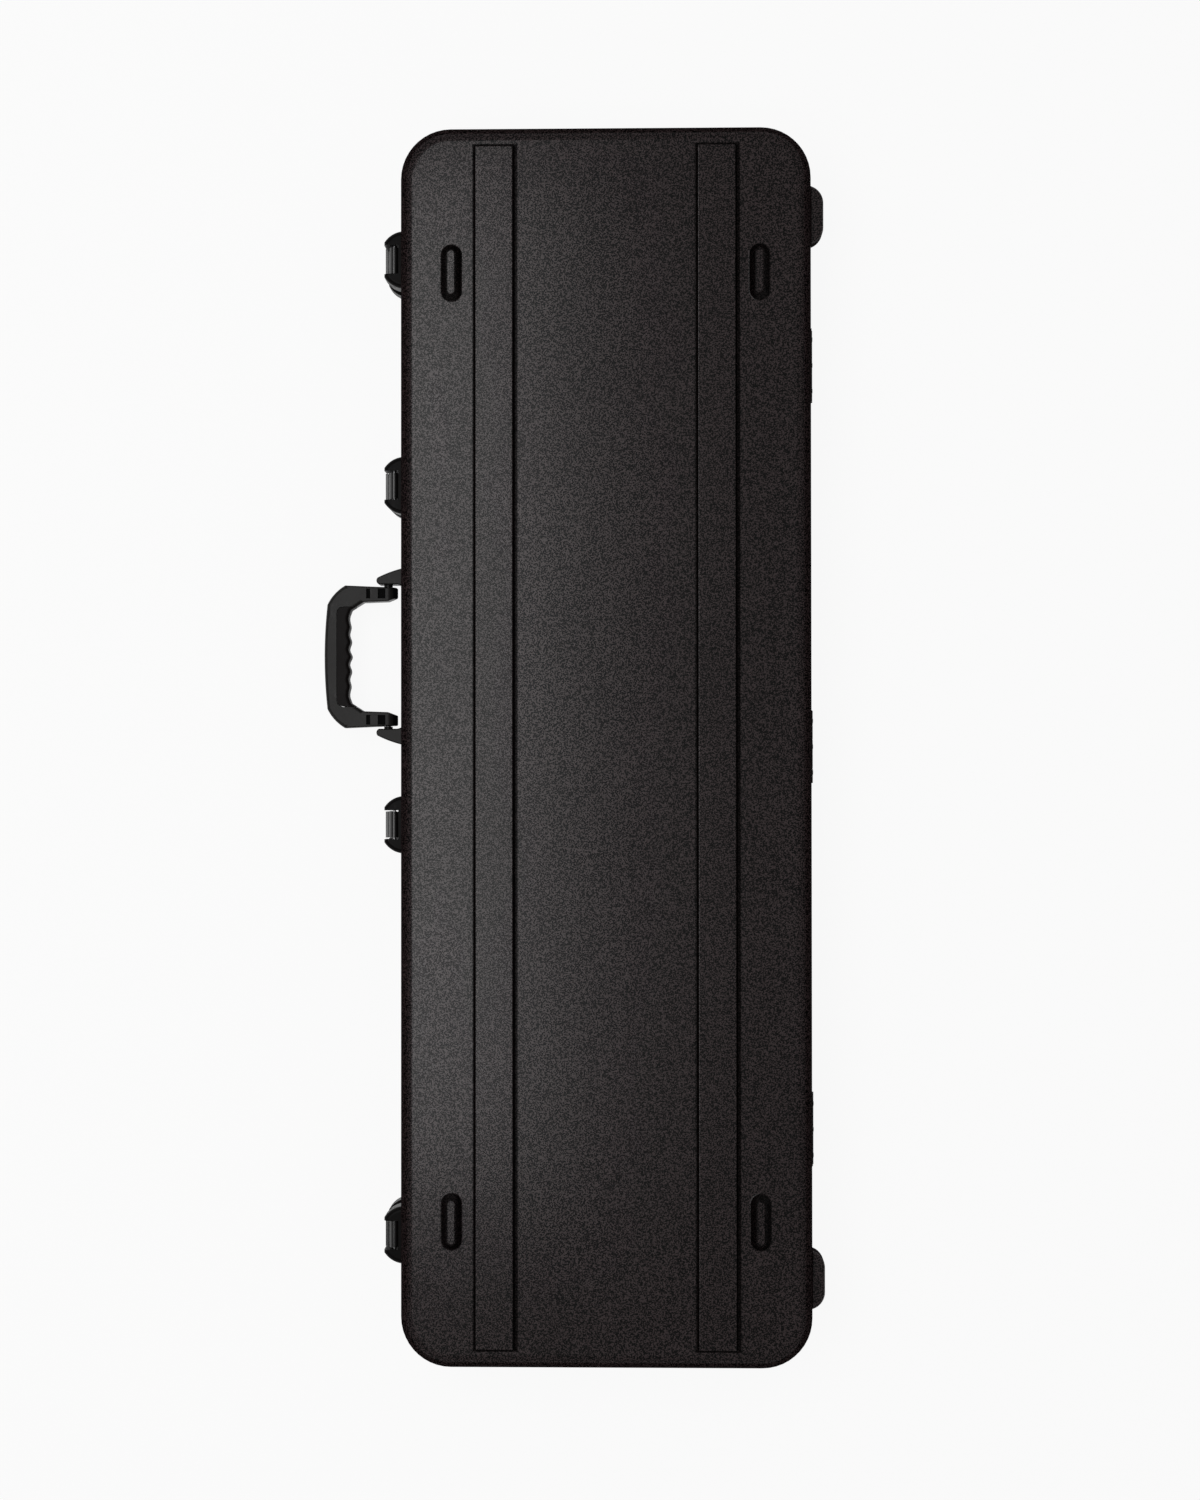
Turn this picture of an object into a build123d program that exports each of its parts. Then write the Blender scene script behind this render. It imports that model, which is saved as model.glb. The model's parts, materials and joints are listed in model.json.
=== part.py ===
from build123d import *
import os
from math import cos, pi, radians, tan

os.makedirs("parts", exist_ok=True)

# Sizes are in millimetres. +X is the hinge side, -X the handle side, +Y the end for the
# instrument's body, +Z up. The case lies on its feet with the lid up. It is drawn about its own
# middle and moved at the end, so that the origin is the middle of the whole box on the floor.

# Case
case_length = 1282.0
case_width = 425.0
half_length = case_length / 2
corner_radius = 52.0
crown_radius = 15.5  # from the side wall into the large face
wall = 3.0
tray_depth = 60.0  # large face of a shell to the parting plane
rim_gap = 0.4  # between the closed rims

# Raised bands along both large faces
band_height = 5.0
band_width = 42.2
band_x = 114.7
band_end_gap = 20.3  # end of the case to the foot of the band
band_slope = 20.0  # degrees from upright
band_corner = 3.0
band_blend = 1.2

# Oval feet on both large faces
foot_height = 7.0
foot_length = 58.5
foot_width = 21.0
foot_top_length = 46.5
foot_top_width = 9.0
foot_x = 159.0
foot_end_gap = 152.5  # end of the case to the middle of a foot
foot_y = half_length - foot_end_gap
foot_blend = 1.8

# Side feet on the hinge side
side_foot_end_gap = 90.0  # end of the case to the middle of a side foot
side_foot_y = half_length - side_foot_end_gap
side_foot_length = 62.0
side_foot_reach = 13.3
side_foot_height = 24.0
side_foot_level = 18.0  # parting plane to the nearer face of the foot
side_foot_round = 18.3
side_foot_blend = 2.5
side_foot_round_share = 0.49  # of a side foot's length, which limits its rounding
base_foot_trim = 13.0  # the base's side feet are this much shorter at their inner ends

# Metal valance on each rim
flange = 1.4
outer_flange_height = 16.0
inner_flange_height = 11.0
web = 5.0
groove_width = 2.4
groove_depth = 3.0
tongue_width = 1.6
tongue_height = 2.4
tongue_stop = 62.0  # the tongue is left out this near to the hinge side
valance_bead = 0.5

# Hinges
hinge_end_gap = 241.0  # end of the case to the middle of the hinge nearest to it
hinge_places = (hinge_end_gap - half_length, 0.0, half_length - hinge_end_gap)
hinge_length = 76.0
knuckle_count = 5
knuckle_radius = 2.3
knuckle_gap = 0.3
knuckle_room = 0.35
hinge_pin_radius = 1.1
hinge_axis_out = 1.8  # pin centre to the shell's side wall
leaf_thick = 1.2
leaf_height = 14.7  # pin centre to the far edge of a leaf
leaf_rivet_pitch = 27.0
leaf_rivet_drop = 9.5

# Rivets
rivet_radius = 1.6
rivet_play = 0.05
rivet_head_radius = 3.0
rivet_head_height = 1.1
rivet_head_round = 0.88
rivet_head_room = 0.2  # round a head that lies in a bore
rivet_tail_radius = 2.6
rivet_tail_height = 0.8

# Latches
latch_end_gaps = (133.0, 134.0)  # body end and head end of the case to the latch nearest to it
latch_mid_places = (272.5, -81.0)
latch_places = (half_length - latch_end_gaps[0], *latch_mid_places, latch_end_gaps[1] - half_length)
block_reach = 18.5
block_half_chord = 29.8
block_half_front = 18.2
block_bulge_at = (9.0, 27.0)  # reach and half width halfway round the curved side
block_height = 26.0
block_dome = 5.0
block_front_round = 1.0
block_back = 3.5
block_slot_half = 15.1
lid_block_level = 13.0  # parting plane to the block on the lid
base_block_level = 11.0  # parting plane to the block on the base
block_step_room = 0.3
block_rivet_half_pitch = 22.5
block_rivet_level = 9.0  # outer end of a block to its rivets
block_rivet_seat = 4.0
block_bore_radius = 3.6
ledge_half = 12.0
ledge_reach = 8.0
ledge_height = 4.0
ledge_level = 12.6  # parting plane to the top of the catch ledge

hasp_half = 13.6
hasp_axis_reach = 8.5
hasp_axis_level = 29.0  # above the parting plane
hasp_knuckle_radius = 4.8
hasp_front = 18.2
hasp_plate = 2.8
hasp_bottom = 23.0  # below the parting plane
hasp_lip_level = 24.0
hasp_lip_thick = 2.4
hasp_valley_level = 21.5
hasp_valley_reach = 13.6
hasp_web_level = 18.0
hasp_web_inner = 6.5  # reach of the web's inner corner at the knuckle
hasp_shoulder = (12.7, 30.5)  # reach and level where the valley leaves the knuckle
hasp_rib_thick = 3.0
hasp_rib_reach = 9.0
hasp_rib_drop = (14.0, 6.0)  # trigger's pin down to the rib's two lower corners
hasp_rib_top = (7.0, 24.5)  # reach and level of the rib's corner at the knuckle
hasp_pin_radius = 1.5
hasp_pin_half = 24.0
pin_fit = 0.03  # radial, in the piece that holds the pin
pin_run = 0.06  # radial, in the piece that turns on it

trigger_side_gap = 0.5
trigger_rib_room = 1.0  # between the trigger and the hasp's ribs
trigger_front = 18.6
trigger_plate = 2.6
trigger_axis_reach = 12.5
trigger_axis_level = 5.0
trigger_boss_radius = 2.7
trigger_boss_inner = 4.0
trigger_top_level = 13.0
trigger_window_level = 17.0
trigger_bottom = 25.0
trigger_lip_reach = 21.4
trigger_lip_rise = 7.0  # over which the plate leans out to the lip
trigger_lip_thick = 1.2
trigger_heel = 1.0  # the plate's back edge above its lip
trigger_link_gap = 0.5  # the bosses' links stop this far inside the plate
tooth_top_gap = 0.5
tooth_height = 3.9
tooth_tip_reach = 5.5
trigger_pin_radius = 1.2
spring_outer_radius = 2.5
spring_wire = 0.7
spring_half = 3.6
spring_leg_top = 18.4
spring_leg_gap = 0.3

# Handle
handle_y = 96.7
handle_axis_reach = 21.3
handle_axis_drop = 30.0  # below the parting plane
handle_thick = 20.6
bar_edge = 4.0
arm_edge = 1.6
arm_flat = 4.3  # at least left flat between the roundings of an arm's two sides
handle_corner = 2.0
handle_corner_share = 0.2  # of the arm's thickness, which limits the rounding of its corners
arm_end_reach = 11.0
arm_outer_half = 73.5
arm_inner_half = 59.0
arm_nose = 4.0
arm_spread = 2.5  # the arm's outer side leans out this far on its way to the corner
shoulder = (67.0, arm_outer_half + arm_spread)  # reach and half width where the corner starts
corner_drops = (6.7, 17.9)  # from the arm's outer side in to the corner's middle and end
corner_mid = (78.3, arm_outer_half - corner_drops[0])
corner_end = (85.8, arm_outer_half - corner_drops[1])
bar_reach = 88.8
inner_drops = (0.9, 9.5)  # from the arm's inner side in to the two turns towards the grip
inner_corner = (46.9, arm_inner_half - inner_drops[0])
inner_turn = (60.4, arm_inner_half - inner_drops[1])
grip_end_drop = 15.0
grip_end_half = arm_inner_half - grip_end_drop
grip_reach = 62.9
finger_pitch = 16.0
finger_low = 1.0
finger_swell = 1.6
insert_reach = 75.2
insert_end_drop = 6.0
insert_half = arm_inner_half - insert_end_drop
insert_corner = 7.0
insert_crease = 0.5
insert_past = 10.0  # the insert's room runs this far past the finger side
insert_key_drop = 7.0
insert_key_half = grip_end_half - insert_key_drop
insert_key_thick = handle_thick / 2
window_start = 23.5
window_length = 20.5
window_rims = (3.0, 1.0)  # from the arm's inner and outer side to the window
window_half_low = arm_inner_half + window_rims[0]
window_width = arm_outer_half - window_rims[1] - window_half_low
window_depth = 2.5
window_block_start = 8.3  # inner end of the window to its raised block
window_block_length = 8.0
window_block_height = 1.3

bracket_half_height = 13.0
bracket_arm_gap = 3.3
bracket_inner_half = arm_outer_half + bracket_arm_gap
bracket_thick = (18.2, 13.5, 7.4)  # at the wall, at the shoulder and at the tip
bracket_root_half = bracket_inner_half + bracket_thick[0]
bracket_shoulder = (17.4, bracket_inner_half + bracket_thick[1])
bracket_tip = (31.5, bracket_inner_half + bracket_thick[2])
bracket_nose = 1.4  # how far the rounded tip runs past its corners
bracket_tip_lean = 1.4  # the tip's inner corner lies this much nearer to the wall
bracket_flare = 11.0  # where the inner face starts to spread towards the wall
bracket_spread = (1.4, 6.3)  # halfway along and at the wall
bracket_flare_mid = (6.5, bracket_inner_half - bracket_spread[0])
bracket_foot_half = bracket_inner_half - bracket_spread[1]
bracket_edge = 1.6
bracket_rivet_out = 10.2  # from the inner face
bracket_rivet_half = bracket_inner_half + bracket_rivet_out
bracket_rivet_pitch = 14.0
bracket_rivet_seat = 4.0
boss_radius = 4.65
boss_gap = 0.3
handle_pin_radius = 3.0
handle_pin_inset = 2.0
handle_pin_hold = 4.0  # depth of the pin in the bracket

# Padded lining
soft_gap = 0.3
floor_pad_thick = 15.7
surround_top = 3.0  # below the parting plane
lid_pad_thick = 25.7
lid_pad_round = 7.7
neck_half = 38.0
neck_body_gap = 473.0  # body end of the case to the start of the neck channel
neck_start = half_length - neck_body_gap
neck_head_gap = 246.0  # head end of the case to the end of the neck channel
neck_end = neck_head_gap - half_length
head_half = 80.0
head_end_gap = 31.0
head_end = head_end_gap - half_length
head_neck = 34.0  # length over which the neck channel widens into the head pocket
head_corner = 22.0
cradle_place = -80.0
cradle_length = 90.0
cradle_height = 22.0
cradle_groove_radius = 45.0
cradle_groove_depth = 7.0
box_wall = 9.0
box_floor = 5.0
box_end_gap = 60.0  # end of the compartment block to its hollow, body end
box_far_gap = 45.0
flap_thick = 3.0
flap_rest = 4.0  # width of the rebate that the flap lies on
flap_gap = 0.6
tab_length = 26.0
tab_width = 14.0
tab_thick = 1.0
tab_overlap = 16.0

# Working lengths
over = 1.0  # cuts run this far past a face
tiny = 0.001  # edges this close count as being at the same place

# Levels and places that follow
parting = foot_height + tray_depth
rim = parting - rim_gap / 2
side = case_width / 2
handle_z = parting - handle_axis_drop
handle_tip = side + bar_reach
case_x = (handle_tip - side - side_foot_reach) / 2  # middle of the case from the box's middle
hinge_x = side + hinge_axis_out
inside_floor = foot_height + wall
outer_leaf_face = side + flange + leaf_thick


def save(name, shape):
    """Writes one piece, moved into the part's own frame."""
    solids = [Pos(case_x, 0, 0) * s for s in shape.solids()]
    export_step(solids[0] if len(solids) == 1 else Compound(children=solids), f"parts/{name}.step")


def turned_over(shape):
    """The same shape on the other side of the parting plane."""
    return mirror(shape, about=Plane.XY.offset(parting))


def case_block(grow, low, high):
    """A block with the case's outline, larger by grow on every side."""
    plan = RectangleRounded(case_width + 2 * grow, case_length + 2 * grow, corner_radius + grow)
    return extrude(Plane.XY.offset(low) * plan, high - low)


def case_ring(outer, inner, low, high):
    return case_block(outer, low, high) - case_block(inner, low, high)


def box_between(x, y, z):
    """A box from three pairs of limits."""
    size = (abs(x[1] - x[0]), abs(y[1] - y[0]), abs(z[1] - z[0]))
    return Pos(sum(x) / 2, sum(y) / 2, sum(z) / 2) * Box(*size)


def rod(radius, x, z, y):
    """A round bar along Y between two limits."""
    return Pos(x, sum(y) / 2, z) * Rot(90, 0, 0) * Cylinder(radius, abs(y[1] - y[0]))


def bore_out(radius, y, z, x):
    """A round bar along X between two limits."""
    return Pos(sum(x) / 2, y, z) * Rot(0, 90, 0) * Cylinder(radius, abs(x[1] - x[0]))


def side_profile(points, y):
    """A side view in reach and level, drawn against the handle-side wall and thickened along Y."""
    outline = Polyline(*[(-side - u, v) for u, v in points], close=True)
    plane = Plane(origin=(0, y[1], 0), x_dir=(1, 0, 0), z_dir=(0, -1, 0))
    return extrude(plane * make_face(outline), y[1] - y[0])


def level_edges(shape, level, x, y, reach):
    """Edges that lie flat at a level, within reach of a place."""
    found = []
    for edge in shape.edges():
        box = edge.bounding_box()
        flat = abs(box.min.Z - level) < tiny and abs(box.max.Z - level) < tiny
        middle = box.center()
        if flat and abs(middle.X - x) < reach[0] and abs(middle.Y - y) < reach[1]:
            found.append(edge)
    return found


# Shells


def band(inset, level, height):
    """One raised band, its foot at level and its top below that by height."""
    run = height * tan(radians(band_slope))
    width = band_width - 2 * inset
    length = case_length - 2 * band_end_gap - 2 * inset
    foot = RectangleRounded(width, length, band_corner)
    top = RectangleRounded(width - 2 * run, length - 2 * run, band_corner - run / 2)
    return loft([Plane.XY.offset(level) * foot, Plane.XY.offset(level - height) * top])


def oval_foot():
    foot = SlotOverall(foot_length, foot_width, rotation=90)
    top = SlotOverall(foot_top_length, foot_top_width, rotation=90)
    shape = loft([Plane.XY.offset(foot_height) * foot, Plane.XY * top])
    return fillet(level_edges(shape, 0, 0, 0, (foot_width, foot_length)), foot_blend)


def side_foot(trim):
    """The foot at +Y on the base's hinge-side wall, its inner end cut back by trim."""
    low = parting - side_foot_level - side_foot_height
    length = side_foot_length - trim
    width = 2 * side_foot_round + side_foot_reach
    plan = Rectangle(width, length)
    plan = fillet(plan.vertices().group_by(Axis.X)[-1], min(side_foot_round, side_foot_round_share * length))
    place = Pos(side + side_foot_reach - width / 2, side_foot_y + trim / 2)
    shape = extrude(Plane.XY.offset(low) * place * plan, side_foot_height)
    rims = [e for e in shape.edges() if e.bounding_box().size.Z < tiny and e.center().X > side - wall]
    shape = fillet(rims, side_foot_blend)
    return shape & box_between((side - wall, side + width), (0, case_length), (0, parting))


def side_feet(trim):
    foot = side_foot(trim)
    return foot + mirror(foot, about=Plane.XZ)


def plain_tray():
    """The base shell without its side feet, before it is cut for hinges and rivets."""
    shell = case_block(0, foot_height, rim - web)
    shell = fillet(shell.faces().sort_by(Axis.Z)[0].edges(), crown_radius)
    band_reach = (band_width, case_length)
    for x in (-band_x, band_x):
        shell += Pos(x, 0, 0) * band(0, foot_height, band_height)
        near = [
            e
            for e in level_edges(shell, foot_height, x, 0, band_reach)
            if abs(e.center().X - x) < band_width / 2 + over
        ]
        shell = fillet(near, band_blend)
        shell = fillet(level_edges(shell, foot_height - band_height, x, 0, band_reach), band_blend)
    for x in (-foot_x, foot_x):
        for y in (-foot_y, foot_y):
            shell += Pos(x, y, 0) * oval_foot()
            near = level_edges(shell, foot_height, x, y, (foot_width / 2, foot_length / 2))
            shell = fillet(near, foot_blend)
    hollow = case_block(-wall, inside_floor, rim)
    hollow = fillet(hollow.faces().sort_by(Axis.Z)[0].edges(), crown_radius - wall)
    slope = radians(band_slope)
    inset = wall * (1 / cos(slope) - tan(slope))
    for x in (-band_x, band_x):
        hollow += Pos(x, 0, 0) * band(inset, inside_floor, band_height)
    return shell - hollow


def hinge_room():
    """What is cut from the rims so that the knuckles can turn."""
    length = hinge_length + 2 * knuckle_gap
    rooms = [
        rod(knuckle_radius + knuckle_room, hinge_x, parting, (y - length / 2, y + length / 2))
        for y in hinge_places
    ]
    return Compound(rooms)


# Valances


def valance():
    """The base's valance: a channel over the shell's edge, with the groove in its face."""
    outer = flange
    inner = -wall - flange
    profile = case_ring(outer, inner, rim - web, rim)
    profile += case_ring(outer, 0, rim - outer_flange_height, rim - web)
    profile += case_ring(-wall, inner, rim - inner_flange_height, rim - web)
    middle = -wall / 2
    profile -= case_ring(middle + groove_width / 2, middle - groove_width / 2, rim - groove_depth, rim)
    return bead(profile)


def bead(shape):
    """Eases the two long edges of the outer flange."""
    wide = case_width + 2 * flange
    edges = []
    for edge in shape.edges():
        box = edge.bounding_box()
        flat = box.size.Z < tiny
        outer = max(abs(box.max.X), abs(box.min.X)) > wide / 2 - tiny or (
            max(abs(box.max.Y), abs(box.min.Y)) > case_length / 2 + flange - tiny
        )
        if flat and outer:
            edges.append(edge)
    return chamfer(edges, valance_bead)


def lid_valance():
    profile = valance()
    middle = -wall / 2
    profile += case_ring(middle + groove_width / 2, middle - groove_width / 2, rim - groove_depth, rim)
    profile = turned_over(profile)
    tongue = case_ring(
        middle + tongue_width / 2,
        middle - tongue_width / 2,
        parting + rim_gap / 2 - tongue_height,
        parting + rim_gap / 2,
    )
    keep_out = box_between(
        (side - tongue_stop, case_width), (-case_length, case_length), (0, 2 * parting)
    )
    return profile + (tongue - keep_out)


# Hinges


def knuckle_span(index):
    pitch = hinge_length / knuckle_count
    start = -hinge_length / 2 + index * pitch
    return (start + knuckle_gap / 2, start + pitch - knuckle_gap / 2)


def hinge_leaf(first, direction):
    """One leaf of a hinge about the pin, with every second knuckle from first."""
    inner_face = flange - hinge_axis_out
    half = hinge_length / 2
    near = (knuckle_radius + 2 * knuckle_room) * direction
    plate = box_between(
        (inner_face, inner_face + leaf_thick), (-half, half), (near, leaf_height * direction)
    )
    for index in range(first, knuckle_count, 2):
        span = knuckle_span(index)
        plate += box_between((inner_face, inner_face + leaf_thick), span, (0, near))
        plate += rod(knuckle_radius, 0, 0, span)
    plate -= rod(hinge_pin_radius + (pin_fit if first == 0 else pin_run), 0, 0, (-half, half))
    for y in leaf_rivet_places():
        hole = bore_out(
            rivet_radius + rivet_play, y, leaf_rivet_drop * direction, (inner_face - over, 2 * leaf_thick)
        )
        plate -= hole
    return plate


def leaf_rivet_places():
    return (-leaf_rivet_pitch, 0, leaf_rivet_pitch)


def hinge_pin():
    half = hinge_length / 2
    return rod(hinge_pin_radius, 0, 0, (-half, half))


# Rivets


def rivet(grip):
    """A rivet along X: head outwards at +X, shank through grip, tail behind."""
    head = Cylinder(rivet_head_radius, rivet_head_height)
    head = fillet(head.edges().sort_by(Axis.Z)[-1], rivet_head_round)
    shape = Pos(0, 0, rivet_head_height / 2) * head
    shape += Pos(0, 0, -grip / 2) * Cylinder(rivet_radius, grip)
    tail = Pos(0, 0, -grip - rivet_tail_height / 2)
    shape += tail * Cylinder(rivet_tail_radius, rivet_tail_height)
    return Rot(0, 90, 0) * shape


def hinge_rivet_places(direction):
    level = parting + direction * leaf_rivet_drop
    return [(y + step, level) for y in hinge_places for step in leaf_rivet_places()]


def latch_rivet_places(level):
    steps = (-block_rivet_half_pitch, block_rivet_half_pitch)
    return [(y + step, level) for y in latch_places for step in steps]


def bracket_rivet_places():
    steps = (-bracket_rivet_pitch / 2, bracket_rivet_pitch / 2)
    halves = (-bracket_rivet_half, bracket_rivet_half)
    return [(handle_y + half, handle_z + step) for half in halves for step in steps]


def rivet_holes(places, hinge_side):
    x = (side - 2 * wall, side + 2 * wall)
    if not hinge_side:
        x = (-x[1], -x[0])
    return Compound([bore_out(rivet_radius + rivet_play, y, z, x) for y, z in places])


def hinge_rivets(direction):
    grip = leaf_thick + 2 * flange + wall
    return Compound([Pos(outer_leaf_face, y, z) * rivet(grip) for y, z in hinge_rivet_places(direction)])


def wall_rivets(places, seat):
    """Rivets through the handle-side wall and what is fastened to it."""
    turn = Rot(0, 0, 180)
    return Compound([Pos(-side - seat, y, z) * turn * rivet(seat + wall) for y, z in places])


# Latches. Each is drawn against the wall at Y = 0. Reach is measured outwards from the wall.

lid_block_bottom = parting + lid_block_level
base_block_top = parting - base_block_level
lid_block_rivet_z = lid_block_bottom + block_rivet_level
base_block_rivet_z = base_block_top - block_height + block_rivet_level
hasp_z = parting + hasp_axis_level
trigger_z = parting + trigger_axis_level
ledge_top = parting - ledge_level
tooth_top = ledge_top - ledge_height - tooth_top_gap
trigger_half = hasp_half - hasp_rib_thick - trigger_side_gap - trigger_rib_room
window_half = trigger_half + trigger_side_gap


def half_moon():
    """The block's outline seen from above."""
    curves = [
        ThreePointArc(
            (0, sign * block_half_chord),
            (-block_bulge_at[0], sign * block_bulge_at[1]),
            (-block_reach, sign * block_half_front),
        )
        for sign in (-1, 1)
    ]
    front = Line((-block_reach, block_half_front), (-block_reach, -block_half_front))
    back = Line((0, block_half_chord), (0, -block_half_chord))
    return make_face(curves + [front, back])


def latch_block(valance_level, rivet_z, with_pin_hole):
    """The lid's hinge block, standing up from its lower face."""
    low = lid_block_bottom
    high = low + block_height
    block = extrude(Plane.XY.offset(low) * Pos(-side, 0) * half_moon(), block_height)
    block = fillet(block.edges().filter_by(Axis.Z).group_by(Axis.X)[0], block_front_round)
    dome = [e for e in block.edges().group_by(Axis.Z)[-1] if e.center().X < -side - tiny]
    block = fillet(dome, block_dome)
    slot_far = -side - block_reach - over
    slot = box_between((slot_far, -side - block_back), (-block_slot_half, block_slot_half), (low, high))
    block -= slot
    step = box_between(
        (-side - flange - block_step_room, -side),
        (-block_half_chord, block_half_chord),
        (low, valance_level + block_step_room),
    )
    block -= step
    for y in (-block_rivet_half_pitch, block_rivet_half_pitch):
        block -= bore_out(block_bore_radius, y, rivet_z, (slot_far, -side - block_rivet_seat))
        block -= bore_out(rivet_radius + rivet_play, y, rivet_z, (slot_far, -side))
    if with_pin_hole:
        reach = block_half_chord
        block -= rod(hasp_pin_radius + pin_fit, -side - hasp_axis_reach, hasp_z, (-reach, reach))
    return block


def lid_latch_block():
    top_of_valance = parting + rim_gap / 2 + outer_flange_height
    return latch_block(top_of_valance, lid_block_rivet_z, True)


def base_latch_block():
    """The same block turned over, with the catch ledge across its slot."""
    shift = lid_block_bottom - parting - base_block_level
    valance_level = parting + rim_gap / 2 + outer_flange_height + shift
    upright = latch_block(valance_level, lid_block_rivet_z_turned(shift), False)
    block = Pos(0, 0, shift) * turned_over(upright)
    ledge = box_between(
        (-side - ledge_reach, -side - block_back),
        (-ledge_half, ledge_half),
        (ledge_top - ledge_height, ledge_top),
    )
    return block + ledge


def lid_block_rivet_z_turned(shift):
    """Level of the rivets before the block is turned over and moved by shift."""
    return 2 * parting - (base_block_rivet_z - shift)


def hasp():
    """The swinging bail: knuckle, front plate forked round the trigger, two ribs."""
    half = (-hasp_half, hasp_half)
    back = hasp_front - hasp_plate
    lip = parting + hasp_lip_level
    valley = parting + hasp_valley_level
    outline = [
        (hasp_shoulder[0], parting + hasp_shoulder[1]),
        (hasp_valley_reach, valley),
        (hasp_front - hasp_lip_thick, valley),
        (hasp_front - hasp_lip_thick, lip),
        (hasp_front, lip),
        (hasp_front, parting - hasp_bottom),
        (back, parting - hasp_bottom),
        (back, parting + hasp_web_level),
        (hasp_web_inner, parting + hasp_rib_top[1]),
    ]
    body = side_profile(outline, half)
    body += rod(hasp_knuckle_radius, -side - hasp_axis_reach, hasp_z, half)
    window = box_between(
        (-side - hasp_front - over, -side - back + over),
        (-window_half, window_half),
        (parting - hasp_bottom - over, parting + trigger_window_level),
    )
    body -= window
    rib = [
        (back, trigger_z - hasp_rib_drop[0]),
        (hasp_rib_reach, trigger_z - hasp_rib_drop[1]),
        (hasp_rib_top[0], parting + hasp_rib_top[1]),
        (back, parting + hasp_web_level),
    ]
    for y in ((-hasp_half, -hasp_half + hasp_rib_thick), (hasp_half - hasp_rib_thick, hasp_half)):
        body += side_profile(rib, y)
    body -= rod(hasp_pin_radius + pin_run, -side - hasp_axis_reach, hasp_z, half)
    body -= rod(trigger_pin_radius + pin_fit, -side - trigger_axis_reach, trigger_z, half)
    return body


def trigger():
    """The pull lever: front plate with a finger lip, two bosses, and the hook that holds the ledge."""
    half = (-trigger_half, trigger_half)
    back = trigger_front - trigger_plate
    bottom = parting - trigger_bottom
    outline = [
        (back, parting + trigger_top_level),
        (trigger_front, parting + trigger_top_level),
        (trigger_front, bottom + trigger_lip_rise),
        (trigger_lip_reach, bottom + trigger_lip_thick),
        (trigger_lip_reach, bottom),
        (back, bottom + trigger_heel),
        (back, tooth_top - tooth_height),
        (tooth_tip_reach, tooth_top - tooth_height),
        (tooth_tip_reach, tooth_top),
        (back, tooth_top),
    ]
    lever = side_profile(outline, half)
    x = -side - trigger_axis_reach
    for y in ((-trigger_half, -trigger_boss_inner), (trigger_boss_inner, trigger_half)):
        lever += rod(trigger_boss_radius, x, trigger_z, y)
        z = (trigger_z - trigger_boss_radius, trigger_z + trigger_boss_radius)
        lever += box_between((x, -side - back - trigger_link_gap), y, z)
    return lever - rod(trigger_pin_radius + pin_run, x, trigger_z, half)


def trigger_pin():
    return rod(trigger_pin_radius, -side - trigger_axis_reach, trigger_z, (-hasp_half, hasp_half))


def hasp_pin():
    return rod(hasp_pin_radius, -side - hasp_axis_reach, hasp_z, (-hasp_pin_half, hasp_pin_half))


def trigger_spring():
    """Torsion spring on the trigger's pin: the wound sleeve and its leg behind the hasp's plate."""
    x = -side - trigger_axis_reach
    half = (-spring_half, spring_half)
    sleeve = rod(spring_outer_radius, x, trigger_z, half)
    sleeve -= rod(trigger_pin_radius + 2 * pin_run, x, trigger_z, half)
    leg_reach = hasp_front - hasp_plate - spring_leg_gap - spring_wire / 2
    top = parting + spring_leg_top
    leg = Pos(-side - leg_reach, 0, (trigger_z + top) / 2) * Cylinder(spring_wire / 2, top - trigger_z)
    return sleeve + leg


# Handle


def finger_edge(w):
    """Reach of the grip's inner edge at a distance from the handle's middle."""
    swell = finger_low + finger_swell * (1 - abs(w) / grip_end_half)
    return grip_reach - swell * (1 + cos(2 * pi * w / finger_pitch)) / 2


def arm_outer_at(u):
    """Half width over the arms at a reach, along their slightly spread outer faces."""
    along = (u - arm_end_reach) / (shoulder[0] - arm_end_reach)
    return arm_outer_half + (shoulder[1] - arm_outer_half) * along


def handle_outline(sign):
    """The outline of one arm as edges, from the bar's back corner round to the grip's end."""
    corner = [(u, sign * w) for u, w in (shoulder, corner_mid, corner_end)]
    corners = (
        shoulder,
        (arm_end_reach, arm_outer_half),
        (arm_end_reach, arm_inner_half + arm_nose),
        (handle_axis_reach, arm_inner_half),
        inner_corner,
        inner_turn,
        (finger_edge(grip_end_half), grip_end_half),
    )
    arm = Polyline(*[(u, sign * w) for u, w in corners])
    return [ThreePointArc(*corner)] + arm.edges()


def bar_zone():
    """The space of the bar, cut from that of the arms along both slanting lines."""
    run = (shoulder[0] - inner_corner[0], shoulder[1] - inner_corner[1])
    near = (inner_corner[0] - run[0] / 2, inner_corner[1] - run[1] / 2)
    far = (shoulder[0] + run[0], shoulder[1] + run[1])
    ends = [near, far, (far[0] + bar_reach, far[1])]
    outline = Polyline(*ends, *[(u, -w) for u, w in reversed(ends)], close=True)
    return extrude(Plane.XY.offset(-handle_thick) * make_face(outline), 2 * handle_thick)


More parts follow.
